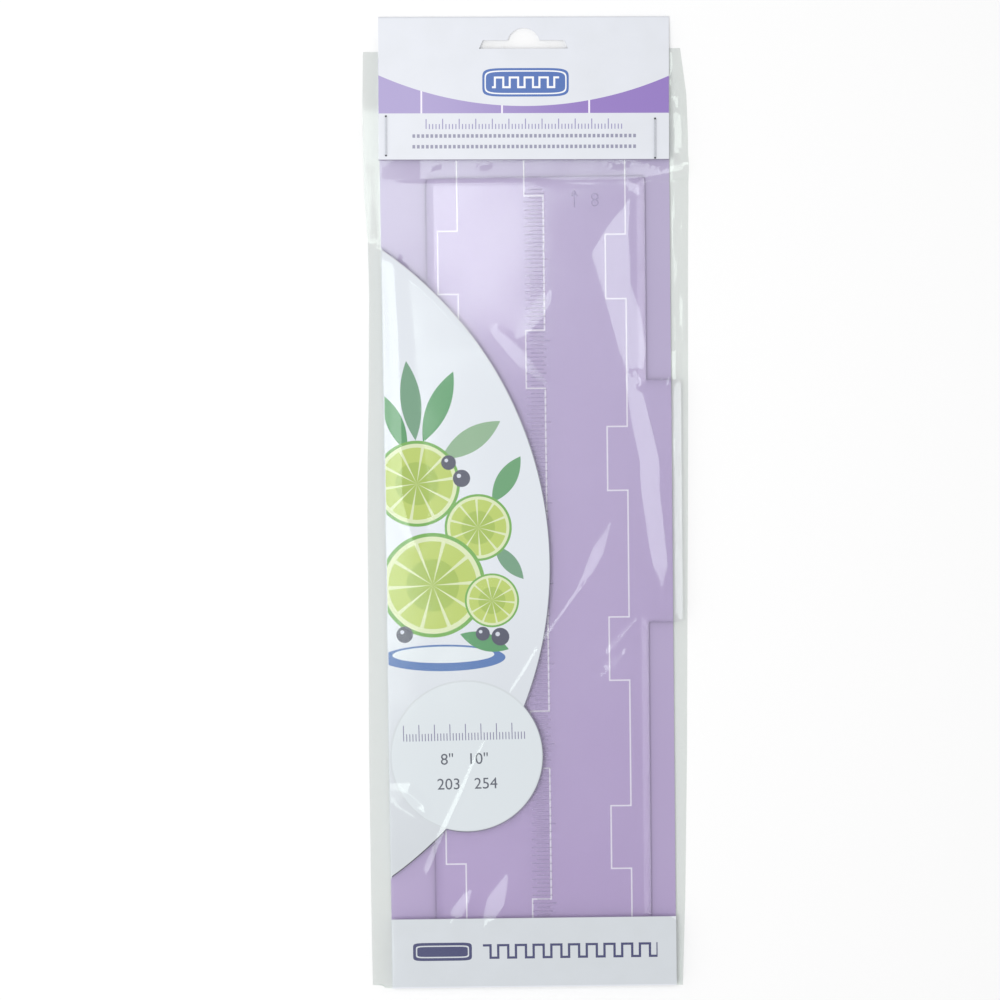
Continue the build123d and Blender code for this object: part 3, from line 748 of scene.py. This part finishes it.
def buildBagFront():
    low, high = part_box("bag_front_film")
    sheet = filmGrid("bag_front", low, high, bag["frontCuts"])
    points = sheetPoints(sheet)
    x, y = points[:, 0].copy(), points[:, 1].copy()
    left, right, bottom = low.x / mm, high.x / mm, low.y / mm
    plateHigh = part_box("scraper")[1] / mm
    insertLow, insertHigh = (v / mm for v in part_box("insert_back_panel"))

    # shoulders where the film leaves its contents: the fold at the left, the scraper at the right
    stepTop = plateHigh.y - bag["stepFrom"]
    stepBottom = stepTop - bag["stepLength"]
    inStep = easeStep((stepTop + bag["slide"] + 5 - y) / 5) * easeStep((y - stepBottom + 3) / 6)
    plateEdge = bag["plateEdge"]
    onCard = easeStep((bag["footEdge"] + 3 - y) / 5)
    shoulder = plateEdge + (plateHigh.x - 0.2 - plateEdge) * inStep
    shoulder = np.maximum(shoulder, plateEdge + (insertHigh.x + 0.1 - plateEdge) * onCard)
    between = easeStep((y - bag["footEdge"] - 1) / 8) * easeStep((98 - y) / 8)
    drop = (bag["overFlaps"] - bag["overScraper"]) * easeStep((x - 6) / (plateEdge - 6))
    roof = bag["overFlaps"] - drop * between
    (arcX, arcY), arcRadius = flapPrint["arcCut"]
    overArc = easeStep((arcRadius - np.hypot(x - arcX, y - arcY)) / 2)
    roof = roof + bag["tip"] * np.clip(y - bag["tipFrom"], 0, None) * overArc
    # below the header it hugs the scraper's end, and climbs again towards both sides
    hug = np.clip((x + 44.4) / 12.5, 0, 1) * (bag["overFlaps"] - bag["overScraper"])
    hug = hug - bag["sideClimb"] * np.clip(x - 1.5, 0, 43.5) ** 2
    late = easeStep((x - 2) / 12)
    hugging = easeStep((y - 101.5 + 3 * late) / (1.4 + 1.6 * late))
    roof = roof * (1 - hugging) + (bag["overFlaps"] - hug) * hugging
    cap = bag["headerInner"] - bag["headerFall"] * (y - bag["headerEdge"])
    cap = cap + bag["bulge"] * np.clip(bag["headerEdge"] - y, 0, 2)
    roof = np.where(y > bag["headerEdge"] - 6, np.minimum(roof, cap), roof)
    # at the header and above it the film stays up to the header's side
    beside = easeStep((y - 99.6) / 3)
    shoulder = shoulder + (44.9 - shoulder) * beside
    rightFall = np.clip((x - shoulder) / (right - shoulder), 0, 1) ** 1.1
    leftFall = np.clip((insertLow.x + 0.2 - x) / (insertLow.x + 0.2 - left), 0, 1)
    leftSeam = np.interp(y, *zip(*bag["leftSeam"]))
    rightSeam = np.interp(y, *zip(*bag["rightSeam"]))
    endFall = np.clip((bottom + 0.9 - y) / 0.9, 0, 1)
    base = roof + (rightSeam - roof) * rightFall + (leftSeam - roof) * leftFall
    base = base + (bag["endSeam"] - base) * endFall

    # creases and slow waves fade out at the seams and under the header
    inHeader = (x > -44.9) & (x < 45.6)
    calm = easeStep((right - x) / 1.5) * easeStep((x - left) / 2.5) * easeStep((y - bottom - 0.6) / 6)
    calm *= 1 - 0.85 * easeStep((y - bag["headerEdge"] + 1) / 5) * inHeader
    relief = slowWaves(x, y, 7, bag["swell"], 14, 48)
    for outline, halves, rise in bag["creases"]:
        relief = relief + creaseHeight(x, y, outline, halves, rise)
    z = base + relief * calm
    # the film never enters the folded card or the scraper below it
    onFlap = y < bag["footEdge"] + 0.4
    for (cutX, cutY), radius in (flapPrint["arcCut"], flapPrint["discCut"]):
        onFlap = onFlap | (np.hypot(x - cutX, y - cutY) < radius)
    floor = np.where(onFlap, bag["flapFloor"], bag["scraperFloor"])
    floor = np.where((x > shoulder) | (x < insertLow.x), 0, floor)
    z = np.maximum(z, np.minimum(floor, base))
    z = np.where((y > bag["headerEdge"]) & inHeader, np.minimum(z, cap), z)
    # the cut corner at the closed end
    edge, depth = bag["notch"]
    points[:, 0] = toSides(x, y, left, right)
    y = np.maximum(y, bottom + depth * (1 - easeStep((x - edge + 1) / 1.2)))
    points[:, 1] = y
    points[:, 2] = z
    movePoints(sheet, points)
    return sheet


def buildBagBack():
    low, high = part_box("bag_back_film")
    sheet = filmGrid("bag_back", low, high, bag["backCuts"])
    points = sheetPoints(sheet)
    x, y = points[:, 0].copy(), points[:, 1].copy()
    # it steps up over the header's back panel, and droops beside it
    under = easeStep((y - bag["headerEdge"] + 4) / 4) * easeStep((x + 47.5) / 2.5) * easeStep((48.3 - x) / 2.5)
    wave = np.abs(slowWaves(x, y, 3, 0.02, 12, 40))
    edge, depth = bag["notch"]
    bottom = low.y / mm
    # the margins climb to the side seams
    leftRise = np.clip((-45 - x) / (-45 - low.x / mm), 0, 1) * (np.interp(y, *zip(*bag["leftSeam"])) - 0.05)
    rightRise = np.clip((x - 46) / (high.x / mm - 46), 0, 1) * (np.interp(y, *zip(*bag["rightSeam"])) - 0.05)
    rise = (leftRise + rightRise) * easeStep((y - bottom) / 4)
    rest = bag["backRest"]
    points[:, 2] = np.maximum(rest + wave * 0.6 + (bag["backUnderHeader"] - rest) * under, rest + rise)
    points[:, 0] = toSides(x, y, low.x / mm, high.x / mm)
    points[:, 1] = np.maximum(y, bottom + depth * (1 - easeStep((x - edge + 1) / 1.2)))
    movePoints(sheet, points)
    bpy.ops.object.mode_set(mode="EDIT")
    bpy.ops.mesh.select_all(action="SELECT")
    bpy.ops.mesh.flip_normals()
    bpy.ops.object.mode_set(mode="OBJECT")
    return sheet


def finishSheet(sheet, mat, node):
    bpy.ops.object.select_all(action="DESELECT")
    sheet.select_set(True)
    bpy.context.view_layer.objects.active = sheet
    bpy.ops.object.shade_smooth_by_angle(angle=math.radians(bag["sharpFrom"]))
    sheet.data.materials.append(mat)
    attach(sheet, "pack")
    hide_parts(node)


filmFinish = filmMaterial()
finishSheet(buildBagFront(), filmFinish, "bag_front_film")
finishSheet(buildBagBack(), filmFinish, "bag_back_film")
print("bag finished")


# Plain numbers on the round label

numbers = {
    "rows": [('8"   10"', (-20.8, -79.3), 5.0), ("203   254", (-20.0, -87.2), 5.0)],
    "turn": 0.7,
    "lift": 0.012,
    "ink": "#3E4154",
    "inkPale": "#585B6C",      # where the ink breaks up
}


def printInk(name, code):
    # offset litho ink: matt, with a slight break-up
    mat = newMaterial(name)
    coords = addNode(mat, "ShaderNodeTexCoord")
    noise = addNode(mat, "ShaderNodeTexNoise", {"Vector": coords.outputs["Object"], "Scale": 1 / (0.3 * mm)})
    tint = addNode(mat, "ShaderNodeMix", {
        0: noise.outputs["Fac"], 6: srgb(code), 7: srgb(numbers["inkPale"])}, data_type="RGBA")
    shader = addNode(mat, "ShaderNodeBsdfPrincipled", {"Base Color": tint.outputs[2], "Roughness": 0.5})
    addNode(mat, "ShaderNodeOutputMaterial", {"Surface": shader.outputs[0]})
    return mat


def buildNumbers(index, body, centre, height, mat):
    bpy.ops.object.select_all(action="DESELECT")
    bpy.ops.object.text_add()
    text = bpy.context.object
    text.data.body = body
    text.data.size = height * mm
    text.data.align_x = "CENTER"
    text.data.align_y = "CENTER"
    bpy.ops.object.convert(target="MESH")
    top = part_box("insert_arc_flap")[1].z
    text.location = (centre[0] * mm, centre[1] * mm, top + numbers["lift"] * mm)
    text.rotation_euler = (0, 0, math.radians(numbers["turn"]))
    bpy.ops.object.transform_apply(location=True, rotation=True, scale=True)
    text.name = "label_numbers_%d" % index
    text.data.name = text.name
    text.data.materials.append(mat)
    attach(text, "pack")


numberInk = printInk("greyPrintInk", numbers["ink"])
for index, (body, centre, height) in enumerate(numbers["rows"], 1):
    buildNumbers(index, body, centre, height, numberInk)
print("numbers printed")


# Floor, light and camera

studio = {
    "floor": "#FBFBFB",
    "floorClouds": "#F9F9F9",
    "air": "#FFFFFF",
    "sky": 0.66,
    # a bank of softboxes that touch: x from and to, y from and to, in metres, all at one height
    "softboxes": [(-0.49, -0.047, 0.027, 0.49), (-0.047, 0.012, -0.003, 0.49),
                  (-0.70, -0.066, -0.22, 0.027), (-0.70, -0.12, -0.45, -0.22)],
    "radiance": 4.4,
    "height": 1.19,
    "cameraPlace": (-0.00477, 0.11331, 1.18172),
    "cameraTurn": (-5.372, 0.115, -0.741),
    "lens": 136.24,
}


def buildStudio():
    bpy.ops.object.select_all(action="DESELECT")
    bpy.ops.mesh.primitive_plane_add(size=8, location=(0, 0, -0.05 * mm))
    floor = bpy.context.object
    floor.name = "studio_floor"
    mat = newMaterial("paleSweep")
    coords = addNode(mat, "ShaderNodeTexCoord")
    noise = addNode(mat, "ShaderNodeTexNoise", {"Vector": coords.outputs["Object"], "Scale": 2.0})
    tint = addNode(mat, "ShaderNodeMix", {
        0: noise.outputs["Fac"], 6: srgb(studio["floor"]), 7: srgb(studio["floorClouds"])}, data_type="RGBA")
    shader = addNode(mat, "ShaderNodeBsdfPrincipled", {"Base Color": tint.outputs[2], "Roughness": 0.9})
    addNode(mat, "ShaderNodeOutputMaterial", {"Surface": shader.outputs[0]})
    floor.data.materials.append(mat)

    scene = bpy.context.scene
    scene.view_settings.view_transform = "Standard"
    world = bpy.data.worlds.new("studioAir")
    world.use_nodes = True
    world.node_tree.nodes["Background"].inputs["Color"].default_value = srgb(studio["air"])
    world.node_tree.nodes["Background"].inputs["Strength"].default_value = studio["sky"]
    scene.world = world

    for index, (fromX, toX, fromY, toY) in enumerate(studio["softboxes"], 1):
        wide, deep = toX - fromX, toY - fromY
        centre = ((fromX + toX) / 2, (fromY + toY) / 2, studio["height"])
        bpy.ops.object.light_add(type="AREA", location=centre)
        light = bpy.context.object
        light.name = "softbox_%d" % index
        light.data.shape = "RECTANGLE"
        light.data.size = wide
        light.data.size_y = deep
        light.data.energy = studio["radiance"] * math.pi * wide * deep

    bpy.ops.object.camera_add(location=studio["cameraPlace"],
                              rotation=[math.radians(a) for a in studio["cameraTurn"]])
    camera = bpy.context.object
    camera.data.sensor_width = 36
    camera.data.lens = studio["lens"]
    scene.camera = camera


buildStudio()
print("studio ready")
